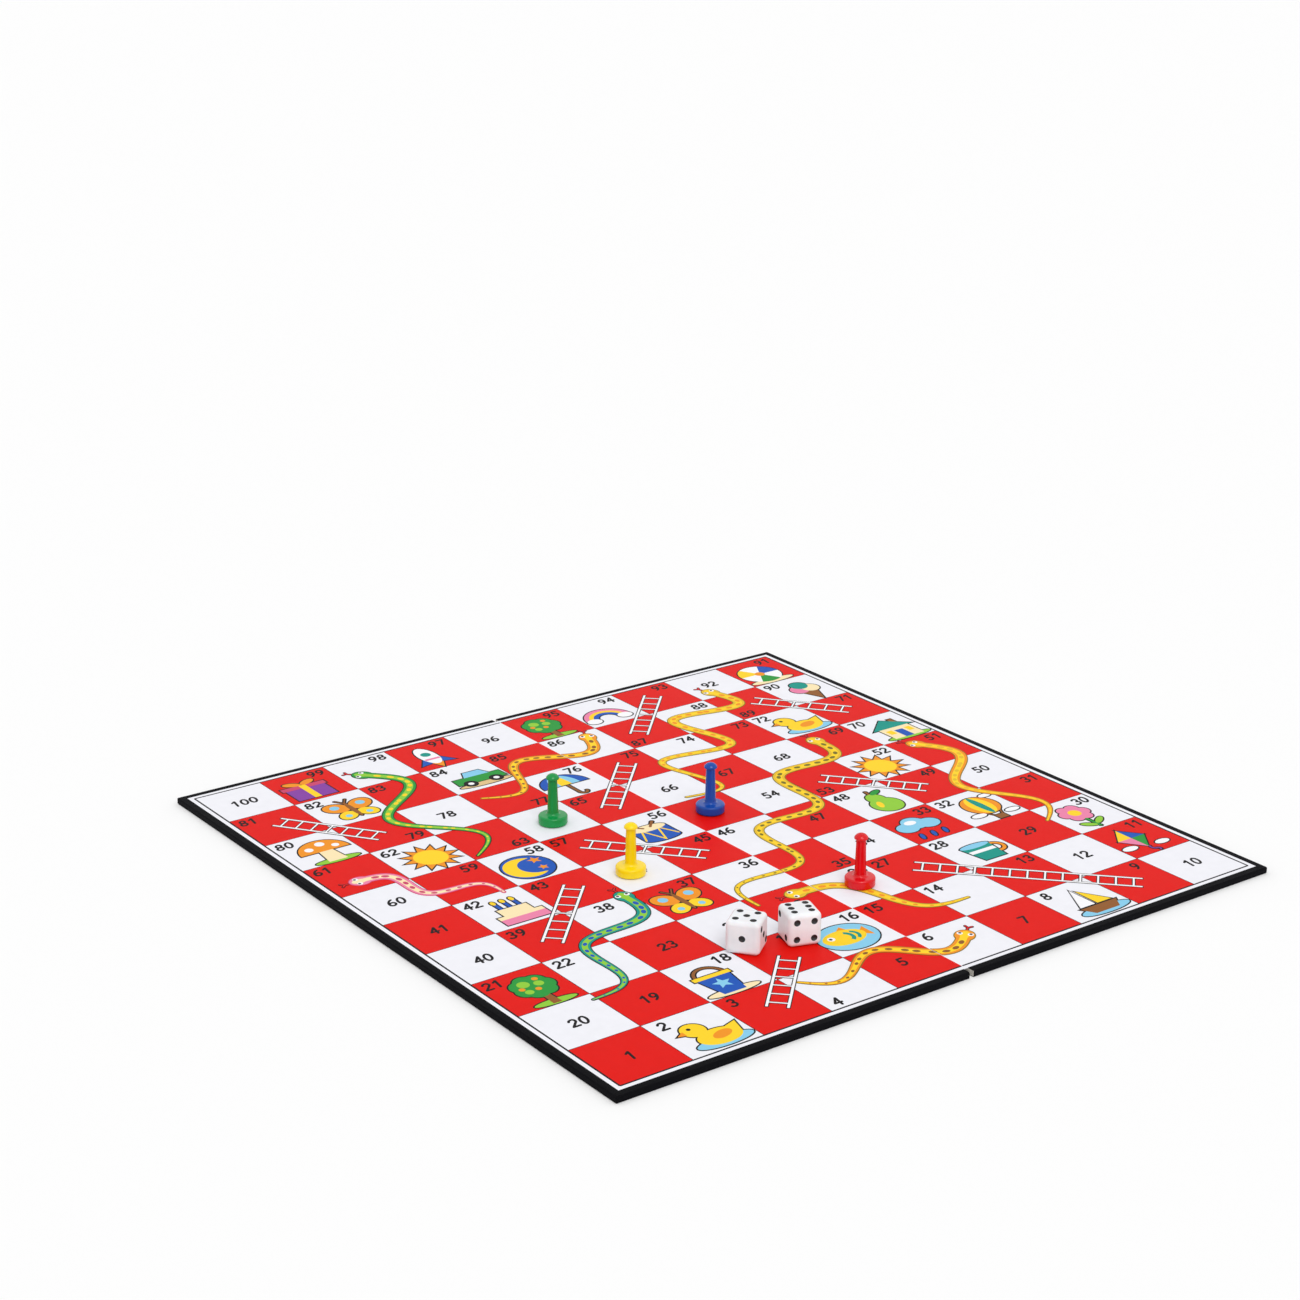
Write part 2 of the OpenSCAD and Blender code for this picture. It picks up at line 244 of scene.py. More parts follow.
PICTURES = {
    "sun": [
        ("orange", [star(0, 0, 0.98, 0.6, 12)]),
        ("yellow", [oval(0, 0, 0.58)]),
    ],
    "tree": [
        ("lime", [oval(0.02, -0.84, 0.74, 0.16)]),
        ("brown", [[(-0.13, -0.95), (0.17, -0.95), (0.1, 0.1), (-0.1, 0.1)]]),
        ("green", flower_ring(0, 0.3, 0.38, 7, 0.36) + [oval(0, 0.3, 0.4)]),
        ("lime", [oval(-0.2, 0.55, 0.2), oval(0.25, 0.4, 0.16), oval(-0.3, 0.05, 0.14)]),
        ("orange", [oval(-0.4, 0.3, 0.1), oval(0.05, 0.1, 0.1), oval(0.3, 0.7, 0.1)]),
    ],
    "house": [
        ("lime", [oval(0, -0.82, 0.98, 0.18)]),
        ("cream", [box(-0.68, -0.85, 0.68, 0.15)]),
        ("brown", [box(0.3, 0.3, 0.5, 0.85)]),
        ("teal", [[(-0.92, 0.12), (0.92, 0.12), (0, 0.92)]]),
        ("blue", [box(-0.18, -0.85, 0.2, -0.15)]),
        ("yellow", [box(-0.54, -0.45, -0.27, -0.1), box(0.33, -0.45, 0.57, -0.1)]),
    ],
    "boat": [
        ("sky", [oval(0, -0.66, 1, 0.26)]),
        ("brown", [[(-0.78, -0.3), (0.78, -0.3), (0.5, -0.76), (-0.5, -0.76)]]),
        ("white", [[(-0.05, -0.22), (-0.05, 0.95), (-0.68, -0.22)]]),
        ("yellow", [[(0.06, -0.22), (0.06, 0.8), (0.66, -0.22)]]),
    ],
    "flower": [
        ("green", line(0.11, (0, -0.86), (0, 0.2))),
        ("lime", [leaning(0.28, -0.5, 0.3, 0.12, 35), leaning(-0.28, -0.6, 0.3, 0.12, -35)]),
        ("pink", flower_ring(0, 0.38, 0.38, 6, 0.26)),
        ("yellow", [oval(0, 0.38, 0.24)]),
    ],
    "umbrella": [
        ("brown", line(0.1, (0, 0.1), (0, -0.74)) + ribbon(oval(0.15, -0.74, 0.15, 0.15, 180, 360), 0.1)),
        ("blue", [sector(0, 0.05, 0.92, 0, 180)]),
        ("sky", [oval(0, 0.05, 0.56, 0.92, 0, 180)]),
        ("yellow", [oval(0, 0.05, 0.22, 0.92, 0, 180)]),
    ],
    "balloon": [
        ("white", [oval(-0.66, -0.42, 0.32, 0.15), oval(0.68, -0.6, 0.3, 0.14)]
            + [oval(0.72, 0.84, 0.26, 0.13)]),
        ("brown", [box(-0.2, -0.98, 0.2, -0.66)]
            + line(0.05, (-0.16, -0.68), (-0.4, -0.2)) + line(0.05, (0.16, -0.68), (0.4, -0.2))),
        ("orange", [oval(0, 0.25, 0.68, 0.72)]),
        ("yellow", [oval(0, 0.25, 0.42, 0.72)]),
        ("teal", [oval(0, 0.25, 0.15, 0.72)]),
    ],
    "kite": [
        ("white", [oval(-0.66, -0.36, 0.32, 0.16), oval(0.68, -0.5, 0.3, 0.15)]),
        ("purple", ribbon(
            oval(0.1, -0.66, 0.1, 0.14, 130, 270) + oval(0.1, -0.88, 0.1, 0.08, 90, -60), 0.06
        )),
        ("blue", [[(0, 0.98), (0.6, 0.25), (0, 0.25)]]),
        ("yellow", [[(0, 0.98), (0, 0.25), (-0.6, 0.25)]]),
        ("green", [[(0, 0.25), (0.6, 0.25), (0, -0.55)]]),
        ("pink", [[(0, 0.25), (0, -0.55), (-0.6, 0.25)]]),
    ],
    "cake": [
        ("pink", [box(-0.82, -0.82, 0.82, -0.2)]),
        ("cream", [box(-0.55, -0.2, 0.55, 0.28), box(-0.82, -0.42, 0.82, -0.2)]),
        ("blue", [box(x - 0.06, 0.28, x + 0.06, 0.68) for x in (-0.34, 0, 0.34)]),
        ("yellow", [oval(x, 0.8, 0.08, 0.14) for x in (-0.34, 0, 0.34)]),
    ],
    "gift": [
        ("purple", [box(-0.75, -0.85, 0.75, 0.3)]),
        ("rose", [box(-0.85, 0.12, 0.85, 0.4)]),
        ("yellow", [box(-0.13, -0.85, 0.13, 0.4)]),
        ("orange", [leaning(-0.3, 0.58, 0.32, 0.16, -25), leaning(0.3, 0.58, 0.32, 0.16, 25)]),
    ],
    "ball": [
        ("cream", [oval(0, -0.8, 0.98, 0.2)]),
        ("white", [oval(0, 0, 0.86)]),
        ("blue", [sector(0, 0, 0.86, 0, 60)]),
        ("yellow", [sector(0, 0, 0.86, 120, 180)]),
        ("green", [sector(0, 0, 0.86, 240, 300)]),
        ("orange", [oval(0, 0, 0.2)]),
    ],
    "butterfly": [
        ("orange", [leaning(0.46, 0.34, 0.48, 0.38, 35), leaning(-0.46, 0.34, 0.48, 0.38, -35)]),
        ("yellow", [leaning(0.38, -0.4, 0.38, 0.3, -40), leaning(-0.38, -0.4, 0.38, 0.3, 40)]),
        ("sky", [oval(0.5, 0.4, 0.17), oval(-0.5, 0.4, 0.17)]
            + [oval(0.4, -0.44, 0.12), oval(-0.4, -0.44, 0.12)]),
        ("brown", [oval(0, 0, 0.1, 0.66)]
            + line(0.05, (0, 0.6), (0.2, 0.92)) + line(0.05, (0, 0.6), (-0.2, 0.92))),
    ],
    "fish": [
        ("sky", [oval(0, -0.02, 1.06, 0.86)]),
        ("orange", [[(0.42, 0), (0.82, 0.33), (0.82, -0.33)], [(-0.3, 0.3), (0.18, 0.66), (0.35, 0.2)]]),
        ("yellow", [oval(-0.12, 0, 0.78, 0.48)]),
        ("teal", [band(-0.12, 0, 0.22, 0.36, -60, 60), band(0.12, 0, 0.22, 0.34, -60, 60)]),
        ("white", [oval(-0.55, 0.12, 0.13)]),
        ("ink", [oval(-0.57, 0.12, 0.06)]),
    ],
    "mushroom": [
        ("lime", [oval(0, -0.86, 0.82, 0.17)]),
        ("cream", [[(-0.24, 0.05), (0.24, 0.05), (0.34, -0.9), (-0.34, -0.9)]]),
        ("orange", [sector(0, -0.04, 0.9, 0, 180)]),
        ("white", [oval(-0.44, 0.3, 0.15), oval(0.08, 0.54, 0.17), oval(0.5, 0.22, 0.13)]),
    ],
    "cone": [
        ("brown", [[(-0.4, 0.02), (0.4, 0.02), (0, -1)]]),
        ("pink", [oval(-0.26, 0.22, 0.37)]),
        ("cream", [oval(0.26, 0.22, 0.37)]),
        ("teal", [oval(0, 0.6, 0.36)]),
    ],
    "rainbow": [
        ("pink", [band(0, -0.5, 0.74, 0.96, 0, 180)]),
        ("yellow", [band(0, -0.5, 0.58, 0.77, 0, 180)]),
        ("blue", [band(0, -0.5, 0.4, 0.6, 0, 180)]),
        ("white", [oval(-0.68, -0.52, 0.3, 0.24), oval(0.68, -0.52, 0.3, 0.24)]),
    ],
    "rain": [
        ("blue", [leaning(x, -0.6, 0.22, 0.08, 70) for x in (-0.5, 0, 0.5)]),
        ("sky", [oval(-0.45, 0.2, 0.42, 0.36), oval(0.45, 0.2, 0.44, 0.36), oval(0, 0.42, 0.46)]),
        ("white", [oval(-0.1, 0.5, 0.24, 0.16)]),
    ],
    "moon": [
        ("blue", [oval(0, 0, 0.9)]),
        ("yellow", [oval(-0.08, 0, 0.76, 0.76, 52, 308) + oval(0.26, 0, 0.57, 0.57, 262, 98)]),
        ("orange", [star(0.48, 0.36, 0.26, 0.11, 5), star(0.43, -0.26, 0.19, 0.09, 5)]),
    ],
    "bucket": [
        ("cream", [oval(0, -0.82, 0.94, 0.18)]),
        ("brown", ribbon(oval(0, 0.3, 0.52, 0.56, 0, 180), 0.1)),
        ("blue", [[(-0.6, 0.3), (0.6, 0.3), (0.4, -0.88), (-0.4, -0.88)]]),
        ("sky", [star(0, -0.25, 0.34, 0.15, 5)]),
        ("yellow", [box(-0.68, 0.2, 0.68, 0.4)]),
    ],
    "drum": [
        ("blue", [box(-0.7, -0.6, 0.7, 0.3), oval(0, -0.6, 0.7, 0.22)]),
        ("yellow", line(0.07, (-0.66, -0.55), (-0.33, 0.2), (0, -0.76), (0.33, 0.2), (0.66, -0.55))),
        ("cream", [oval(0, 0.3, 0.7, 0.24)]),
        ("brown", line(0.1, (-0.15, 0.36), (-0.46, 0.7)) + line(0.1, (0.15, 0.36), (0.46, 0.7))),
    ],
    "cup": [
        ("orange", ribbon(oval(0.5, -0.1, 0.32, 0.3, -90, 90), 0.13)),
        ("teal", [[(-0.66, 0.32), (0.56, 0.32), (0.4, -0.76), (-0.5, -0.76)]]),
        ("white", [box(-0.58, -0.2, 0.48, 0)]),
        ("sky", [oval(-0.05, 0.32, 0.61, 0.16)]),
    ],
    "pear": [
        ("brown", line(0.1, (0, 0.5), (0.08, 0.95))),
        ("lime", [oval(0, -0.3, 0.6, 0.58), oval(0, 0.26, 0.34, 0.44)]),
        ("green", [leaning(0.32, 0.74, 0.28, 0.12, 25)]),
        ("yellow", [leaning(-0.22, -0.2, 0.12, 0.26, -20)]),
    ],
    "rocket": [
        ("orange", [[(-0.24, -0.5), (0.24, -0.5), (0, -1)]]),
        ("blue", [[(-0.3, 0), (-0.7, -0.62), (-0.2, -0.52)], [(0.3, 0), (0.7, -0.62), (0.2, -0.52)]]),
        ("white", [oval(0, 0.18, 0.36, 0.8)]),
        ("teal", [oval(0, 0.32, 0.19)]),
        ("pink", [box(-0.3, -0.22, 0.3, -0.08)]),
    ],
    "car": [
        ("sand", [oval(0, -0.62, 1.06, 0.16)]),
        ("sky", [[(-0.5, 0.05), (-0.28, 0.55), (0.38, 0.55), (0.6, 0.05)]]),
        ("green", [[(-0.94, 0.12), (0.94, 0.12), (0.98, -0.42), (-0.98, -0.42)]]),
        ("ink", [oval(-0.52, -0.44, 0.27), oval(0.52, -0.44, 0.27)]),
        ("white", [oval(-0.52, -0.44, 0.11), oval(0.52, -0.44, 0.11)]),
    ],
    "duck": [
        ("sky", [oval(0.02, -0.62, 0.98, 0.28)]),
        ("yellow", [oval(0.05, -0.32, 0.74, 0.46), oval(-0.4, 0.36, 0.4)]
            + [[(0.3, 0), (0.94, 0.2), (0.76, -0.45)]]),
        ("orange", [[(-0.72, 0.46), (-1, 0.28), (-0.72, 0.2)], leaning(0.18, -0.26, 0.36, 0.2, 15)]),
        ("ink", [oval(-0.48, 0.48, 0.07)]),
    ],
}

# Which picture stands on which square, by column and row
PICTURE_PLACES = {
    (1, 0): "duck", (7, 0): "boat",
    (2, 1): "bucket", (4, 1): "fish", (9, 1): "kite",
    (0, 2): "tree", (7, 2): "cup", (9, 2): "flower",
    (3, 3): "butterfly", (7, 3): "rain", (8, 3): "balloon",
    (1, 4): "cake", (7, 4): "pear",
    (2, 5): "moon", (4, 5): "drum", (8, 5): "sun",
    (1, 6): "sun", (9, 6): "house",
    (0, 7): "mushroom", (4, 7): "umbrella", (8, 7): "duck",
    (1, 8): "butterfly", (3, 8): "car", (9, 8): "cone",
    (1, 9): "gift", (3, 9): "rocket", (5, 9): "tree", (6, 9): "rainbow", (9, 9): "ball",
}
# Scale of a picture, its outline before it is scaled, and its shift as a share of its number's
PICTURE_SCALE = 0.4
PICTURE_LINE = 0.05
PICTURE_SHIFT = 0.25

# Spots for a number, from the middle of its square, and the room that it needs
CORNER_SPOTS = [(0.3, 0.34), (-0.3, 0.34), (0.3, -0.34), (-0.3, -0.34)]
EDGE_SPOTS = [(0, 0.33), (0, -0.33), (0.3, 0), (-0.3, 0)]
NUMBER_REACH = 0.11
NUMBER_CLEAR = 0.21

# Ladders: foot and top, in squares
LADDERS = [
    ((1.42, 7.38), (0.52, 8.62)),
    ((4.55, 4.38), (3.42, 5.62)),
    ((4.42, 6.38), (5.58, 7.60)),
    ((1.42, 3.38), (2.58, 4.60)),
    ((8.50, 0.42), (6.48, 2.52)),
    ((8.42, 4.42), (7.42, 5.55)),
    ((2.55, 0.45), (3.50, 1.40)),
    ((6.38, 8.42), (7.50, 9.60)),
    ((9.55, 7.40), (8.60, 8.55)),
]
# Sizes of a ladder, in squares
LADDER_WIDTH = 0.286
RAIL_WIDTH = 0.032
RUNG_WIDTH = 0.024
RUNG_PITCH = 0.2143
LADDER_LINE = 0.012

# Snakes: head and tail in squares, waves, sway in squares, body, back, marks and outline
SNAKES = [
    ((2.30, 9.40), (2.10, 6.10), 1.5, 0.42, "green", "lime", "yellow", "ink"),
    ((5.70, 8.75), (3.20, 7.70), 1.5, 0.34, "orange", "yellow", "brown", "olive"),
    ((8.30, 9.20), (5.50, 6.10), 2.5, 0.46, "gold", "yellow", "orange", "olive"),
    ((8.30, 6.70), (4.10, 2.75), 3.0, 0.34, "gold", "yellow", "olive", "olive"),
    ((9.40, 5.75), (8.95, 2.60), 1.5, 0.34, "orange", "yellow", "gold", "olive"),
    ((2.90, 3.95), (0.95, 1.85), 1.5, 0.30, "teal", "lime", "blue", "ink"),
    ((4.70, 2.75), (6.40, 1.40), 1.0, 0.28, "gold", "yellow", "orange", "olive"),
    ((5.60, 0.60), (3.15, 0.80), 1.5, 0.24, "orange", "yellow", "brown", "olive"),
    ((0.45, 6.30), (1.75, 4.95), 1.5, 0.20, "pink", "cream", "rose", "rose"),
]
# Sizes of a snake, in squares or as shares of its width
SNAKE_WIDTH = 0.1714
TAIL_SHARE = 0.2
WAVE_STEPS = 32
SNAKE_LINE = 0.012
BACK_SHARE = 0.55
MARK_PITCH = 0.17
MARK_LENGTH, MARK_WIDTH = 0.32, 0.2
HEAD_LENGTH, HEAD_WIDTH = 0.15, 0.125
BROW_LENGTH, BROW_WIDTH, BROW_AHEAD = 0.105, 0.063, 0.015
EYE_RADIUS, EYE_AHEAD, EYE_ASIDE = 0.038, 0.038, 0.069
PUPIL_RADIUS, PUPIL_AHEAD = 0.02, 0.01
TONGUE_LENGTH, FORK_LENGTH, TONGUE_WIDTH = 0.225, 0.045, 0.02
# Lines of the grid and round it, in squares
GRID_LINE = 0.008
BORDER_LINE = 0.024


def square_number(column, row):
    """The number of a square, on rows that run to and fro."""
    return SQUARES * row + (column + 1 if row % 2 == 0 else SQUARES - column)


def grid_figures():
    """Thin dark lines between the squares and round the grid."""
    bars = []
    for i in range(SQUARES + 1):
        w = (BORDER_LINE if i in (0, SQUARES) else GRID_LINE) / 2
        bars += [box(i - w, 0, i + w, SQUARES), box(0, i - w, SQUARES, i + w)]
    yield bars, "ink", LINE_LEVEL


def crossings():
    """Points along all the snakes and the ladders."""
    found = [point for snake in SNAKES for point in snake_line(*snake[:4])]
    for foot, top in LADDERS:
        foot, run = Vector(foot), Vector(top) - Vector(foot)
        out = Vector((-run.y, run.x)).normalized() * LADDER_WIDTH / 2
        for i in range(WAVE_STEPS + 1):
            middle = foot + run * i / WAVE_STEPS
            found += [tuple(middle - out), tuple(middle), tuple(middle + out)]
    return found


def number_spots(crossed):
    """The shift of each number from the middle of its square to a spot that is clear."""
    spots = {}
    for row in range(SQUARES):
        for column in range(SQUARES):
            near = [p for p in crossed if math.dist(p, (column + 0.5, row + 0.5)) < 1]
            side = 1 if row % 2 else -1
            tries = [(side * u, v) for u, v in CORNER_SPOTS]
            if (column, row) not in PICTURE_PLACES:
                tries = [(0, 0)] + tries + EDGE_SPOTS
            room = []
            for u, v in tries:
                ends = [(column + 0.5 + u + e, row + 0.5 + v) for e in (-NUMBER_REACH, 0, NUMBER_REACH)]
                room.append(min([math.dist(p, end) for p in near for end in ends] + [NUMBER_CLEAR]))
            spots[column, row] = tries[room.index(max(room))]
    return spots


def number_figures(spots):
    for (column, row), (u, v) in spots.items():
        figure = number_figure(square_number(column, row), column + 0.5 + u, row + 0.5 + v)
        yield figure, "ink", PICTURE_LEVEL


def picture_figures(spots):
    """Each picture over its own dark outline, moved a little away from the number."""
    for (column, row), name in PICTURE_PLACES.items():
        u, v = spots[column, row]
        place = (column + 0.5 - PICTURE_SHIFT * u, row + 0.5 - PICTURE_SHIFT * v, PICTURE_SCALE)
        outline = [grown(figure, PICTURE_LINE) for _, figures in PICTURES[name] for figure in figures]
        yield [moved_to(figure, *place) for figure in outline], "ink", LINE_LEVEL
        for layer, (colour, figures) in enumerate(PICTURES[name]):
            yield [moved_to(figure, *place) for figure in figures], colour, PICTURE_LEVEL + layer


def ladder_figures():
    for foot, top in LADDERS:
        foot, run = Vector(foot), Vector(top) - Vector(foot)
        along = run.normalized()
        reach = Vector((-along.y, along.x)) * (LADDER_WIDTH - RAIL_WIDTH) / 2
        rungs = math.floor(run.length / RUNG_PITCH)
        middles = [foot + run * (i + 0.5) / rungs for i in range(rungs)]
        bars = [(m - reach, m + reach, RUNG_WIDTH) for m in middles]
        bars += [(foot + r, foot + r + run, RAIL_WIDTH) for r in (-reach, reach)]
        figures = []
        for a, b, width in bars:
            edge = Vector((a.y - b.y, b.x - a.x)).normalized() * width / 2
            figures.append([tuple(p) for p in (a - edge, b - edge, b + edge, a + edge)])
        yield [grown(bar, LADDER_LINE) for bar in figures], "ink", LADDER_LEVEL
        yield figures, "white", LADDER_LEVEL + 1


def snake_line(head, tail, waves, sway):
    """Points of a snake's centre line, from the head to the tail."""
    head, run = Vector(head), Vector(tail) - Vector(head)
    along = run.normalized()
    out = Vector((-along.y, along.x))
    steps = round(waves * WAVE_STEPS)
    shares = [i / steps for i in range(steps + 1)]
    return [tuple(head + run * t + out * sway * math.sin(math.tau * waves * t)) for t in shares]


def snake_marks(points, widths):
    """Ovals along the back of a snake, at even distances."""
    sides = across(points)
    marks, walked = [], 0.0
    for i in range(1, len(points) - 1):
        walked += math.dist(points[i - 1], points[i])
        if walked > MARK_PITCH:
            walked -= MARK_PITCH
            angle = math.degrees(math.atan2(-sides[i][0], sides[i][1]))
            marks.append(leaning(*points[i], widths[i] * MARK_LENGTH, widths[i] * MARK_WIDTH, angle))
    return marks


def tongue(head, ahead, out, width):
    fork = head + ahead * TONGUE_LENGTH
    tips = [fork + (ahead + out * side) * FORK_LENGTH for side in (-1, 1)]
    strokes = [(head, fork)] + [(fork, tip) for tip in tips]
    return [quad for a, b in strokes for quad in line(width, a, b)]


def snake_figures():
    """Each snake from its outline up to its eyes."""
    for head, tail, waves, sway, body, back, marks, outline in SNAKES:
        points = snake_line(head, tail, waves, sway)
        count = len(points) - 1
        widths = [SNAKE_WIDTH * (1 - (1 - TAIL_SHARE) * (i / count) ** 2) for i in range(count + 1)]
        head = Vector(head)
        ahead = (Vector(points[0]) - Vector(points[2])).normalized()
        out = Vector((-ahead.y, ahead.x))
        angle = math.degrees(math.atan2(ahead.y, ahead.x))
        face = leaning(*head, HEAD_LENGTH, HEAD_WIDTH, angle)
        brow = leaning(*(head + ahead * BROW_AHEAD), BROW_LENGTH, BROW_WIDTH, angle)
        eyes = [head + ahead * EYE_AHEAD + out * side * EYE_ASIDE for side in (-1, 1)]
        rim = ribbon(points, [w + 2 * SNAKE_LINE for w in widths])
        yield tongue(head, ahead, out, TONGUE_WIDTH + 2 * SNAKE_LINE), "ink", SNAKE_LEVEL
        yield tongue(head, ahead, out, TONGUE_WIDTH), "red", SNAKE_LEVEL + 1
        yield rim + [grown(face, SNAKE_LINE)], outline, SNAKE_LEVEL + 2
        yield ribbon(points, widths) + [face], body, SNAKE_LEVEL + 3
        yield ribbon(points, [w * BACK_SHARE for w in widths]) + [brow], back, SNAKE_LEVEL + 4
        yield snake_marks(points, widths), marks, SNAKE_LEVEL + 5
        yield [oval(*eye, EYE_RADIUS) for eye in eyes], "white", SNAKE_LEVEL + 5
        yield [oval(*(eye + ahead * PUPIL_AHEAD), PUPIL_RADIUS) for eye in eyes], "ink", SNAKE_LEVEL + 6


# Films of ink on one half of the sheet

# Distance, in squares, at which corners of a film join
JOIN_GAP = 1e-5


def cut_at_fold(points, side):
    """The part of a figure, in squares, that lies on one side of the fold."""
    kept = []
    for a, b in zip(points[-1:] + points[:-1], points):
        depth_a, depth_b = (side * (p[0] - SQUARES / 2) - fold_edge / square for p in (a, b))
        if (depth_a < 0) != (depth_b < 0):
            t = depth_a / (depth_a - depth_b)
            kept.append((a[0] + t * (b[0] - a[0]), a[1] + t * (b[1] - a[1])))
        if depth_b >= 0:
            kept.append(b)
    return kept


def joined(figures):
    """Corners and triangles that cover plane figures, with overlaps covered once."""
    points, loops = [], []
    for figure in figures:
        if abs(signed_area(figure)) > JOIN_GAP**2:
            loops.append(list(range(len(points), len(points) + len(figure))))
            points += figure if signed_area(figure) > 0 else figure[::-1]
    if not loops:
        return [], []
    made = delaunay_2d_cdt([Vector(p) for p in points], [], loops, 1, JOIN_GAP)
    corners, triangles, sources = made[0], made[2], made[5]
    return corners, [list(t) for t, source in zip(triangles, sources) if source]


def film(figures, low, high):
    """Corners and faces of a closed film over plane figures, in metres."""
    corners, triangles = joined(figures)
    used = sorted({i for triangle in triangles for i in triangle})
    renamed = {i: n for n, i in enumerate(used)}
    tops = [[renamed[i] for i in triangle] for triangle in triangles]
    count = len(used)
    edges = {pair for top in tops for pair in zip(top, top[1:] + top[:1])}
    rims = sorted(pair for pair in edges if pair[::-1] not in edges)
    faces = tops + [[i + count for i in reversed(top)] for top in tops]
    faces += [[b, a, a + count, b + count] for a, b in rims]
    places = [((corners[i].x - SQUARES / 2) * square, (corners[i].y - SQUARES / 2) * square) for i in used]
    return [(x, y, z) for z in (high, low) for x, y in places], faces


def new_piece(name, corners, faces, materials, indexes=None):
    mesh = bpy.data.meshes.new(name)
    mesh.from_pydata(corners, [], faces)
    for material in materials:
        mesh.materials.append(material)
    if indexes:
        mesh.polygons.foreach_set("material_index", indexes)
    mesh.update()
    piece = bpy.data.objects.new(name, mesh)
    bpy.context.scene.collection.objects.link(piece)
    return piece


def printed(name, figures, side, inks):
    """One piece of all the films on one half of the sheet."""
    corners, faces, used, indexes = [], [], [], []
    for shapes, colour, level in figures:
        kept = [cut_at_fold(shape, side) for shape in shapes]
        more, film_faces = film([shape for shape in kept if shape], print_z, film_z + level * ink_step)
        if not film_faces:
            continue
        if colour not in used:
            used.append(colour)
        faces += [[i + len(corners) for i in face] for face in film_faces]
        indexes += [used.index(colour)] * len(film_faces)
        corners += more
    return new_piece(name, corners, faces, [inks[colour] for colour in used], indexes)


# Materials


def new_material(name, colour, roughness, specular=0.5):
    material = bpy.data.materials.new(name)
    material.use_nodes = True
    shader = material.node_tree.nodes["Principled BSDF"]
    shader.inputs["Base Color"].default_value = colour
    shader.inputs["Roughness"].default_value = roughness
    shader.inputs["Specular IOR Level"].default_value = specular
    return material


def linked(material, kind, source=None, socket=0, **values):
    """A new node of a kind, with its input socket fed by a source."""
    tree = material.node_tree
    made = tree.nodes.new(kind)
    for key, value in values.items():
        made.inputs[key].default_value = value
    if source is not None:
        tree.links.new(source, made.inputs[socket])
    return made


def noise(material, scale, detail=3.0):
    """Noise in the metres of the frame."""
    place = linked(material, "ShaderNodeTexCoord").outputs["Object"]
    return linked(material, "ShaderNodeTexNoise", place, "Vector", Scale=scale, Detail=detail).outputs[0]


def cells(material, scale):
    place = linked(material, "ShaderNodeTexCoord").outputs["Object"]
    return linked(material, "ShaderNodeTexVoronoi", place, "Vector", Scale=scale).outputs["Distance"]


def feed(material, output, socket):
    shader = material.node_tree.nodes["Principled BSDF"]
    material.node_tree.links.new(output, shader.inputs[socket])


def tone(material, value, dark, light, low=0.3, high=0.7):
    """Base colour that runs from dark to light as the value rises."""
    ramp = linked(material, "ShaderNodeValToRGB", value, "Fac")
    for stop, at, colour in zip(ramp.color_ramp.elements, (low, high), (dark, light)):
        stop.position = at
        stop.color = colour
    feed(material, ramp.outputs["Color"], "Base Color")


def gloss(material, value, low, high):
    """Roughness that runs from low to high as the value rises."""
    ranged = linked(material, "ShaderNodeMapRange", value, "Value")
    ranged.inputs["To Min"].default_value = low
    ranged.inputs["To Max"].default_value = high
    feed(material, ranged.outputs["Result"], "Roughness")


def relief(material, value, depth):
    bump = linked(material, "ShaderNodeBump", value, "Height", Distance=depth)
    feed(material, bump.outputs["Normal"], "Normal")


def shade(colour, share):
    return tuple(c * share for c in colour[:3]) + (1.0,)


PAPER = linear(244, 244, 250)
RED = linear(228, 18, 10)
BLACK = linear(12, 12, 15)
GREY_BOARD = linear(204, 200, 192)
DIE_WHITE = linear(243, 244, 247)
PIP_BLACK = linear(22, 22, 24)
PAWN_COLOURS = {
    "green": (0, 150, 70),
    "blue": (0, 70, 166),
    "yellow": (255, 222, 0),
    "red": (224, 4, 20),
}

# Print: roughness of its varnish, grain of its paper and the cloud in its colour
PRINT_ROUGH, PRINT_LOW, PRINT_HIGH, PRINT_SPECULAR = 0.45, 0.4, 0.5, 0.05
VARNISH_GRAIN = 900
FIBRE_GRAIN, FIBRE_DEPTH = 5200, 0.000012
CLOUD_GRAIN, CLOUD_DETAIL, CLOUD_SHADE = 260, 4.0, 0.97


def varnish(material):
    """Satin varnish over the grain of the paper."""
    gloss(material, noise(material, VARNISH_GRAIN), PRINT_LOW, PRINT_HIGH)
    relief(material, noise(material, FIBRE_GRAIN), FIBRE_DEPTH)


def ink_material(name):
    """Printing ink, even in colour."""
    material = new_material("ink_" + name, linear(*COLOURS[name]), PRINT_ROUGH, PRINT_SPECULAR)
    varnish(material)
    return material


def sheet_material(name, colour):
    """Coated paper with a faint cloud in its colour."""
    material = new_material(name, colour, PRINT_ROUGH, PRINT_SPECULAR)
    tone(material, noise(material, CLOUD_GRAIN, CLOUD_DETAIL), shade(colour, CLOUD_SHADE), colour)
    varnish(material)
    return material


# Wrap: roughness, and the grain, depth and tones of its emboss
WRAP_ROUGH, WRAP_LOW, WRAP_HIGH, WRAP_SPECULAR = 0.6, 0.5, 0.7, 0.03
WRAP_GRAIN = 700
EMBOSS_GRAIN, EMBOSS_DEPTH = 2600, 0.00006
EMBOSS_DARK, EMBOSS_LIGHT, EMBOSS_FROM, EMBOSS_TO = 0.7, 1.5, 0.1, 0.9


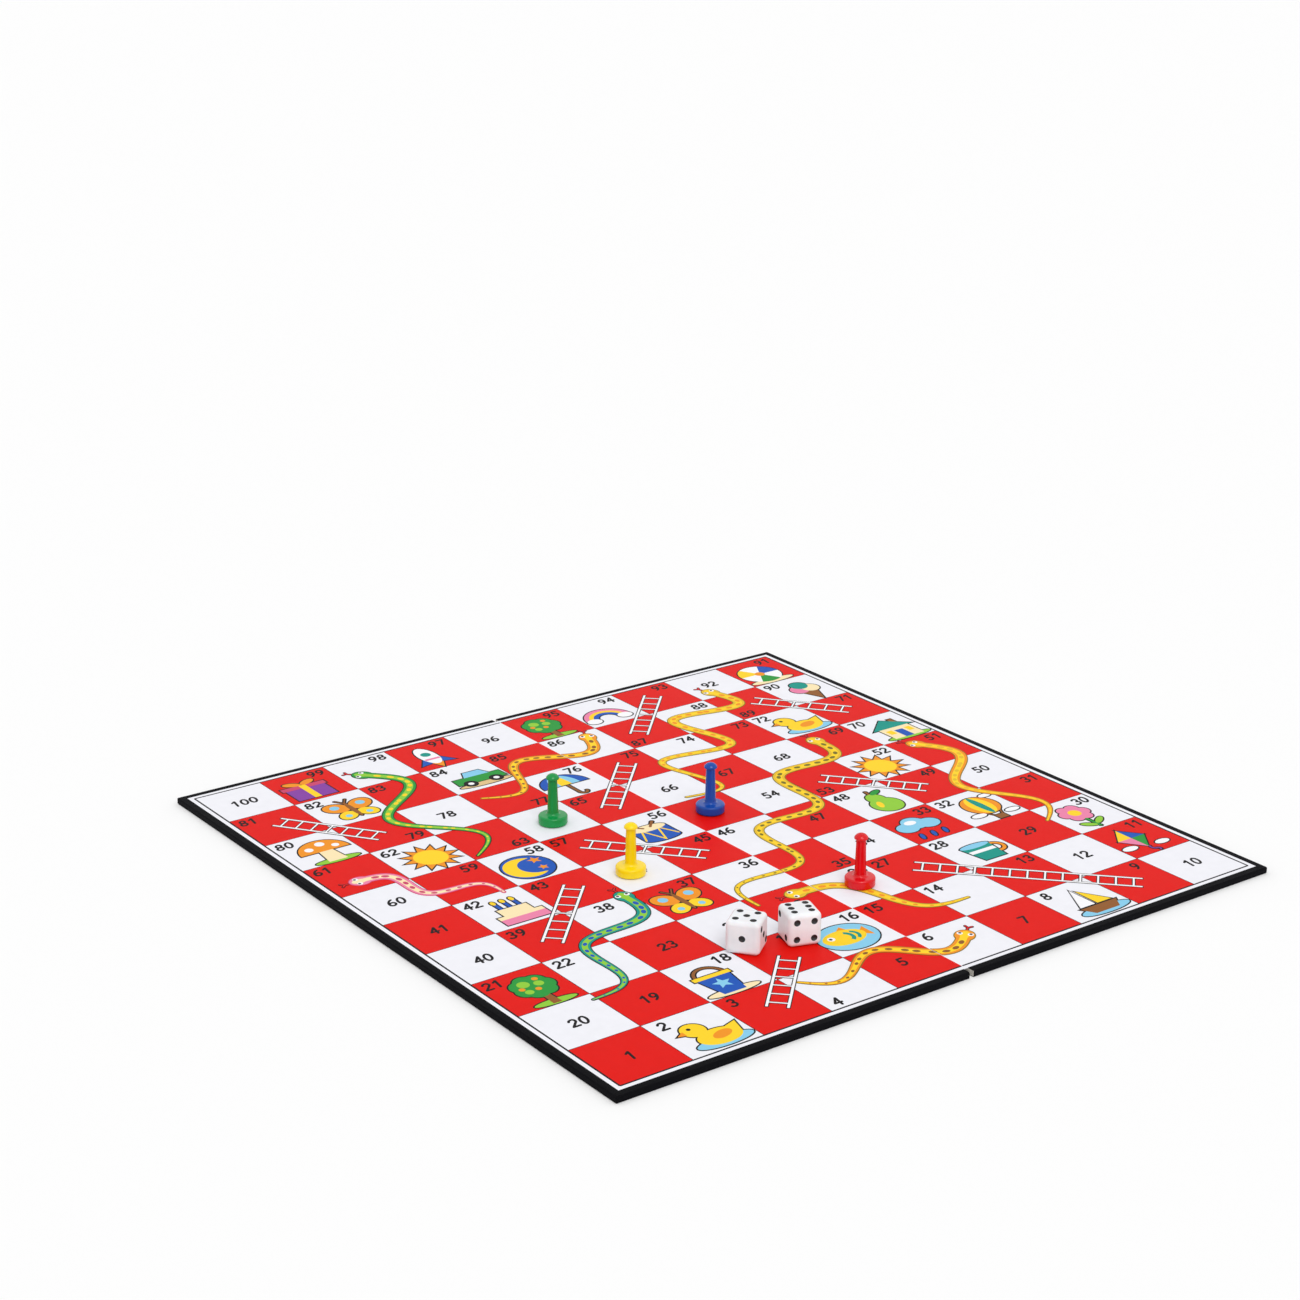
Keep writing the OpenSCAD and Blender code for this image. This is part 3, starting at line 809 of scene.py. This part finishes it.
def wrap_material():
    """Black paper with an embossed leather grain, worn paler on the tops of the grain."""
    material = new_material("wrap_paper", BLACK, WRAP_ROUGH, WRAP_SPECULAR)
    grain = cells(material, EMBOSS_GRAIN)
    tone(material, grain, shade(BLACK, EMBOSS_DARK), shade(BLACK, EMBOSS_LIGHT), EMBOSS_FROM, EMBOSS_TO)
    gloss(material, noise(material, WRAP_GRAIN), WRAP_LOW, WRAP_HIGH)
    relief(material, grain, EMBOSS_DEPTH)
    return material


# Grey board: roughness, its flecks and the unevenness of its pulp
BOARD_ROUGH, BOARD_SPECULAR = 0.9, 0.2
FLECK_GRAIN, FLECK_DETAIL, FLECK_SHADE, FLECK_FROM, FLECK_TO = 3800, 6.0, 0.62, 0.38, 0.56
PULP_GRAIN, PULP_DETAIL, PULP_DEPTH = 2400, 5.0, 0.00008


def board_material():
    """Grey board of recycled fibres, with darker flecks."""
    material = new_material("greyboard", GREY_BOARD, BOARD_ROUGH, BOARD_SPECULAR)
    flecks = noise(material, FLECK_GRAIN, FLECK_DETAIL)
    tone(material, flecks, shade(GREY_BOARD, FLECK_SHADE), GREY_BOARD, FLECK_FROM, FLECK_TO)
    relief(material, noise(material, PULP_GRAIN, PULP_DETAIL), PULP_DEPTH)
    return material


# Plastic: roughness, light that enters it, flow in its colour, handling marks and mould texture
PAWN_ROUGH, DIE_ROUGH, PLASTIC_SPECULAR = 0.16, 0.2, 0.35
GLOW_WEIGHT, GLOW_RADIUS = 0.08, (0.001, 0.0006, 0.0004)
FLOW_GRAIN, FLOW_DETAIL, FLOW_SHADE = 180, 2.0, 0.9
HANDLED_GRAIN, HANDLED_DETAIL, HANDLED_LOW, HANDLED_HIGH = 1400, 5.0, 0.8, 1.35
MOULD_GRAIN, MOULD_DETAIL, MOULD_DEPTH = 1100, 4.0, 0.00001


def plastic(name, colour, roughness):
    """Glossy moulded plastic with a faint flow in it and handling marks."""
    material = new_material(name, colour, roughness, PLASTIC_SPECULAR)
    shader = material.node_tree.nodes["Principled BSDF"]
    shader.inputs["Subsurface Weight"].default_value = GLOW_WEIGHT
    shader.inputs["Subsurface Radius"].default_value = GLOW_RADIUS
    tone(material, noise(material, FLOW_GRAIN, FLOW_DETAIL), shade(colour, FLOW_SHADE), colour)
    handled = noise(material, HANDLED_GRAIN, HANDLED_DETAIL)
    gloss(material, handled, roughness * HANDLED_LOW, roughness * HANDLED_HIGH)
    relief(material, noise(material, MOULD_GRAIN, MOULD_DETAIL), MOULD_DEPTH)
    return material


# Paint in the pips: roughness, its grain and its brush texture
PAINT_ROUGH, PAINT_LOW, PAINT_HIGH, PAINT_GRAIN = 0.5, 0.4, 0.6, 1800
BRUSH_GRAIN, BRUSH_DEPTH = 3000, 0.00001


def paint(name, colour):
    """Matt paint, a little uneven."""
    material = new_material(name, colour, PAINT_ROUGH)
    gloss(material, noise(material, PAINT_GRAIN), PAINT_LOW, PAINT_HIGH)
    relief(material, noise(material, BRUSH_GRAIN), BRUSH_DEPTH)
    return material


# Board


def rounded_ring(d, z, r, half_x, half_y, fold_x, steps=6):
    """Points round three edges of a half board, d in from its outline, from the fold to the fold."""
    r = max(r - d, 0.0)
    x, y = half_x - d - r, half_y - d - r
    upper = oval(x, y, r, r, 90, 0, steps)
    lower = oval(x, -y, r, r, 0, -90, steps)
    ends = [(fold_x, half_y - d)], [(fold_x, d - half_y)]
    return [(px, py, z) for px, py in ends[0] + upper + lower + ends[1]]


def wrap_profile(turn_in, top, thick, round_r, steps=5):
    """Section of the wrap as (distance in, height): outside first, then back along the inside."""
    outside = [(turn_in, top)]
    outside += oval(round_r, top - round_r, round_r, round_r, 90, 180, steps)
    outside += oval(round_r, round_r, round_r, round_r, 180, 270, steps)
    inside = [(thick, thick), (thick, top - thick), (turn_in, top - thick)]
    return outside, inside


# Wrap: its thickness, and the radii of its edges and of the board's corners
WRAP_THICK = 0.00025
WRAP_ROUND = 0.0005
CORNER_ROUND = 0.0005


def wrapped(name, node, side, material):
    """The black wrap of one half: its back, its rounded edges and the strip turned over onto the face."""
    low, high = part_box(node)
    half_x, half_y = max(-low.x, high.x), high.y
    fold_x = min(abs(low.x), abs(high.x))
    outside, inside = wrap_profile(half_x - half_print, high.z, WRAP_THICK, WRAP_ROUND)
    rings = [rounded_ring(d, z, CORNER_ROUND, half_x, half_y, fold_x) for d, z in outside + inside]
    count = len(rings[0])
    corners = [(side * x, y, z) for ring in rings for x, y, z in ring]
    seam = len(outside) - 1
    faces = []
    for k in range(len(rings)):
        after = (k + 1) % len(rings)
        if k != seam:
            for i in range(count - 1):
                a, b = k * count + i, after * count + i
                faces.append([a, b, b + 1, a + 1])
    back, front = seam * count, (seam + 1) * count
    faces.append([back + i for i in reversed(range(count))])
    faces.append([front + i for i in range(count)])
    faces.append([back, front, front + count - 1, back + count - 1][::-1])
    faces.append([k * count for k in range(len(rings))])
    faces.append([k * count + count - 1 for k in reversed(range(len(rings)))])
    piece = new_piece(name, corners, faces, [material])
    tidy(piece, WRAP_SHARP)
    return piece


# Corners this near are one, and edges turned by more than these angles stay sharp
WELD_GAP, SLIVER = 1e-7, 1e-8
WRAP_SHARP, PAWN_SHARP, DIE_SHARP = 40, 60, 35


def tidy(piece, angle):
    """Joins corners that lie together, turns the faces outwards and smooths all but sharp edges."""
    mesh = bmesh.new()
    mesh.from_mesh(piece.data)
    bmesh.ops.remove_doubles(mesh, verts=mesh.verts, dist=WELD_GAP)
    bmesh.ops.dissolve_degenerate(mesh, edges=mesh.edges, dist=SLIVER)
    bmesh.ops.recalc_face_normals(mesh, faces=mesh.faces)
    mesh.to_mesh(piece.data)
    mesh.free()
    piece.data.polygons.foreach_set("use_smooth", [True] * len(piece.data.polygons))
    piece.data.set_sharp_from_angle(angle=math.radians(angle))


# Crease: half its width, steps across it and the dip in its middle
CREASE_HALF = 0.0006
CREASE_STEPS = 12
CREASE_DIP = 0.00002


def crease(materials):
    """The strip of the sheet over the fold, with a dip in its middle, in the colours of the squares beside
    it.
    """
    ys = [-half_print] + [(row - SQUARES / 2) * square for row in range(SQUARES + 1)] + [half_print]
    xs = [CREASE_HALF * (2 * i / CREASE_STEPS - 1) for i in range(CREASE_STEPS + 1)]
    level = film_z + ink_step / 2
    corners = [(x, y, level - CREASE_DIP * math.cos(math.pi / 2 * x / CREASE_HALF)) for y in ys for x in xs]
    corners += [(x, y, print_z) for y in ys for x in xs]
    under, wide = len(ys) * len(xs), len(xs)
    faces, indexes = [], []
    for row in range(len(ys) - 1):
        for i in range(wide - 1):
            a = row * wide + i
            top = [a, a + 1, a + wide + 1, a + wide]
            margin = row in (0, len(ys) - 2)
            column = SQUARES // 2 - (i < CREASE_STEPS // 2)
            red = not margin and (column + row - 1) % 2 == 0
            faces += [top, [under + k for k in reversed(top)]]
            indexes += [int(red)] * 2
    edges = {pair for face in faces for pair in zip(face, face[1:] + face[:1])}
    for a, b in sorted(edges):
        if (b, a) not in edges and a < under:
            faces.append([b, a, a + under, b + under])
            indexes.append(0)
    return new_piece("sheet_crease", corners, faces, materials, indexes)


# Pawns and dice


def lathe(profile, steps, ridge=0.0):
    """Corners and faces of a solid turned about Z from a profile of (radius, height) that ends on the axis.

    A ridge stands out on two opposite sides.
    """
    ring = profile[1:-1]
    corners, faces = [(0, 0, profile[0][1])], []
    for r, z in ring:
        for i in range(steps):
            reach = r + (ridge if i % (steps // 2) == 0 else 0.0)
            a = math.tau * i / steps
            corners.append((reach * math.cos(a), reach * math.sin(a), z))
    corners.append((0, 0, profile[-1][1]))
    last = len(corners) - 1
    for i in range(steps):
        j = (i + 1) % steps
        faces.append([0, 1 + j, 1 + i])
        faces.append([last, last - steps + i, last - steps + j])
        for k in range(1, 1 + (len(ring) - 1) * steps, steps):
            faces.append([k + i, k + j, k + j + steps, k + i + steps])
    return corners, faces


# Shares of a pawn's foot radius and of its height
RIM_SHARE, FILLET_SHARE, STEM_SHARE, NECK_SHARE, CAP_SHARE = 0.143, 0.196, 0.375, 0.3125, 0.446
BASE_SHARE, DOME_SHARE, CAP_RIM_SHARE = 0.18, 0.075, 0.025
ARC_STEPS, CROWN_STEPS = 8, 10


def pawn_profile(r, h):
    """Half outline of a pawn, from the middle of its foot to its crown."""
    rim, fillet = RIM_SHARE * r, FILLET_SHARE * r
    stem_r, neck_r, cap_r = STEM_SHARE * r, NECK_SHARE * r, CAP_SHARE * r
    base_h, dome, cap_rim = BASE_SHARE * h, DOME_SHARE * h, CAP_RIM_SHARE * h
    flare = cap_r - neck_r
    crown_r = (cap_r**2 + dome**2) / (2 * dome)
    crown_angle = math.degrees(math.asin((crown_r - dome) / crown_r))
    foot = oval(r - rim, rim, rim, rim, -90, 0, ARC_STEPS)
    shoulder = oval(r - rim, base_h - rim, rim, rim, 0, 90, ARC_STEPS)
    waist = oval(stem_r + fillet, base_h + fillet, fillet, fillet, 270, 180, ARC_STEPS)
    neck = oval(neck_r + flare, h - dome - cap_rim - flare, flare, flare, 180, 90, ARC_STEPS)
    crown = oval(0, h - crown_r, crown_r, crown_r, crown_angle, 90, CROWN_STEPS)
    return [(0, 0)] + foot + shoulder + waist + neck + crown


# Sides of a pawn, and the ridge that the mould leaves on it
PAWN_STEPS = 96
PARTING_RIDGE = 0.00005


def pawn(node, material):
    """A pawn turned from its outline, with the fine ridge that the mould leaves on two sides."""
    low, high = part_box(node)
    r = (high.x - low.x) / 2
    corners, faces = lathe(pawn_profile(r - PARTING_RIDGE, high.z - low.z), PAWN_STEPS, PARTING_RIDGE)
    foot = Vector(((low.x + high.x) / 2, (low.y + high.y) / 2, low.z))
    piece = new_piece(node + "_body", [Vector(c) + foot for c in corners], faces, [material])
    tidy(piece, PAWN_SHARP)
    return piece


# Sizes of a die and its pips
DIE_ROUND = 0.0017
DIE_ROUND_STEPS = 8
PIP_RADIUS = 0.00118
PIP_DEPTH = 0.0005
PIP_PITCH = 0.0031
PIP_SIDES = 40
CUT_OVERRUN = 0.0001
# Dice: node, counts on top, in front and on the right, and turn in degrees
DICE = [("left_die", 5, 1, 3, -53), ("right_die", 6, 4, 5, -18.5)]
# Places of the pips for each count, in steps from the middle of a face
PIP_STEPS = {
    1: [(0, 0)],
    2: [(-1, -1), (1, 1)],
    3: [(-1, -1), (0, 0), (1, 1)],
    4: [(-1, -1), (-1, 1), (1, -1), (1, 1)],
    5: [(-1, -1), (-1, 1), (0, 0), (1, -1), (1, 1)],
    6: [(-1, -1), (-1, 0), (-1, 1), (1, -1), (1, 0), (1, 1)],
}


def die_faces(top, front, right):
    """The count and the turn of each face of a die, opposite faces adding up to seven."""
    quarter = math.pi / 2
    return [
        (top, Matrix.Identity(4)),
        (7 - top, Matrix.Rotation(math.pi, 4, "X")),
        (front, Matrix.Rotation(quarter, 4, "X")),
        (7 - front, Matrix.Rotation(-quarter, 4, "X")),
        (right, Matrix.Rotation(quarter, 4, "Y")),
        (7 - right, Matrix.Rotation(-quarter, 4, "Y")),
    ]


def bowls(edge, faces):
    """Corners and faces of the round bowls that are cut out of a die for its pips."""
    bowl_r = (PIP_RADIUS**2 + PIP_DEPTH**2) / (2 * PIP_DEPTH)
    rise = bowl_r - PIP_DEPTH
    end = math.degrees(math.asin((CUT_OVERRUN - rise) / bowl_r))
    profile = oval(0, rise, bowl_r, bowl_r, -90, end, ARC_STEPS) + [(0, CUT_OVERRUN)]
    bowl_corners, bowl_faces = lathe(profile, PIP_SIDES)
    corners, cut_faces = [], []
    for count, turn in faces:
        for u, v in PIP_STEPS[count]:
            at = turn @ Matrix.Translation((u * PIP_PITCH, v * PIP_PITCH, edge / 2))
            cut_faces += [[i + len(corners) for i in face] for face in bowl_faces]
            corners += [at @ Vector(c) for c in bowl_corners]
    return corners, cut_faces


def die(node, top, front, right, turn, materials):
    """A rounded cube with a painted bowl sunk for each pip."""
    low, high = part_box(node)
    edge = high.z - low.z
    cube = bmesh.new()
    bmesh.ops.create_cube(cube, size=edge)
    bmesh.ops.bevel(
        cube, geom=cube.edges[:], offset=DIE_ROUND, segments=DIE_ROUND_STEPS, profile=0.5, affect="EDGES"
    )
    body = new_piece(node + "_body", [], [], materials)
    cube.to_mesh(body.data)
    cube.free()
    corners, cut_faces = bowls(edge, die_faces(top, front, right))
    cutter = new_piece(node + "_cutter", corners, cut_faces, materials, [1] * len(cut_faces))
    cut = body.modifiers.new("pips", "BOOLEAN")
    cut.operation, cut.solver, cut.object = "DIFFERENCE", "EXACT", cutter
    body.data = bpy.data.meshes.new_from_object(body.evaluated_get(bpy.context.evaluated_depsgraph_get()))
    body.modifiers.clear()
    bpy.data.objects.remove(cutter)
    body.data.transform(Matrix.Translation((low + high) / 2) @ Matrix.Rotation(math.radians(turn), 4, "Z"))
    tidy(body, DIE_SHARP)
    weighted = body.modifiers.new("flat_faces", "WEIGHTED_NORMAL")
    weighted.keep_sharp = True
    return body


# Studio

# Sizes in metres, angles in degrees and the lens in millimetres
FLOOR_HALF = 12.0
FLOOR_COLOUR = linear(252, 252, 252)
FLOOR_ROUGH, FLOOR_SPECULAR = 0.9, 0.1
SKY_STRENGTH = 0.72
SUN_STRENGTH = 1.18
SUN_ANGLE = 35
SUN_TILT = (38, 0, -20)
CAMERA_PLACE = (-0.5568, -0.7214, 0.3933)
CAMERA_TURN = -36.33
CAMERA_DIP = 19.31
CAMERA_ROLL = 0.19
LENS = 73.42
CLIP_NEAR, CLIP_FAR = 0.01, 100


def floor():
    material = new_material("studio_floor", FLOOR_COLOUR, FLOOR_ROUGH, FLOOR_SPECULAR)
    h = FLOOR_HALF
    corners = [(-h, -h, 0), (h, -h, 0), (h, h, 0), (-h, h, 0)]
    piece = new_piece("studio_floor", corners, [[0, 1, 2, 3]], [material])


def sky():
    """Even light, which the camera and mirrors see as white."""
    world = bpy.data.worlds.new("studio")
    world.use_nodes = True
    nodes, links = world.node_tree.nodes, world.node_tree.links
    background = nodes["Background"]
    background.inputs["Color"].default_value = (1, 1, 1, 1)
    path = nodes.new("ShaderNodeLightPath")
    seen = nodes.new("ShaderNodeMapRange")
    seen.inputs["To Min"].default_value = SKY_STRENGTH
    seen.inputs["To Max"].default_value = 1.0
    white = path.outputs["Is Camera Ray"]
    for ray in ("Is Glossy Ray", "Is Transmission Ray"):
        either = nodes.new("ShaderNodeMath")
        links.new(white, either.inputs[0])
        links.new(path.outputs[ray], either.inputs[1])
        white = either.outputs["Value"]
    links.new(white, seen.inputs["Value"])
    links.new(seen.outputs["Result"], background.inputs["Strength"])
    bpy.context.scene.world = world


def sun():
    lamp = bpy.data.lights.new("studio_sun", "SUN")
    lamp.energy = SUN_STRENGTH
    lamp.angle = math.radians(SUN_ANGLE)
    holder = bpy.data.objects.new("studio_sun", lamp)
    holder.rotation_euler = [math.radians(a) for a in SUN_TILT]
    bpy.context.scene.collection.objects.link(holder)


def camera():
    data = bpy.data.cameras.new("camera")
    data.lens = LENS
    data.clip_start, data.clip_end = CLIP_NEAR, CLIP_FAR
    holder = bpy.data.objects.new("camera", data)
    turn = Matrix.Rotation(math.radians(CAMERA_TURN), 4, "Z")
    dip = Matrix.Rotation(math.radians(90 - CAMERA_DIP), 4, "X")
    roll = Matrix.Rotation(math.radians(CAMERA_ROLL), 4, "Z")
    holder.matrix_world = Matrix.Translation(CAMERA_PLACE) @ turn @ dip @ roll
    bpy.context.scene.collection.objects.link(holder)
    bpy.context.scene.camera = holder


# Build

camera()
sky()
sun()
floor()
bpy.context.scene.view_settings.view_transform = "Standard"

inks = {name: ink_material(name) for name in COLOURS}
white_sheet = sheet_material("print_paper", PAPER)
red_sheet = sheet_material("red_ink", RED)
wrap_paper = wrap_material()
greyboard = board_material()
spots = number_spots(crossings())

for side, half in ((-1, "left"), (1, "right")):
    body = half + "_half"
    for node, material in (("greyboard", greyboard), ("print", white_sheet), ("red_squares", red_sheet)):
        solid = frame["nodes"][f"{node}_{half}"]
        solid.data.materials.clear()
        solid.data.materials.append(material)
    edging = wrapped("edging_" + half, "wrap_" + half, side, wrap_paper)
    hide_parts("wrap_" + half)
    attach(edging, body)
    for group, figures, slot in (
        ("grid_lines", grid_figures(), "snake_ink"),
        ("numbers", number_figures(spots), "snake_ink"),
        ("pictures", picture_figures(spots), "snake_ink"),
        ("ladder_print", ladder_figures(), "ladder_ink"),
        ("snake_print", snake_figures(), "snake_ink"),
    ):
        layer = printed(f"{group}_{half}", figures, side, inks)
        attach(layer, body)
        if group == "ladder_print":
            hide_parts("ladders_" + half)
        if group == "snake_print":
            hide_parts("snakes_" + half)

strip = crease([white_sheet, red_sheet])
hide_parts("fold_crease")
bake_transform(strip)

for name, colour in PAWN_COLOURS.items():
    node = name + "_pawn"
    piece = pawn(node, plastic(name + "_plastic", linear(*colour), PAWN_ROUGH))
    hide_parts(node)
    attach(piece, node + "_piece")

die_plastic = plastic("die_plastic", DIE_WHITE, DIE_ROUGH)
pip_paint = paint("pip_paint", PIP_BLACK)
for node, top, front, right, turn in DICE:
    piece = die(node, top, front, right, turn, [die_plastic, pip_paint])
    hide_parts(node, node + "_pips")
    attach(piece, node + "_piece")
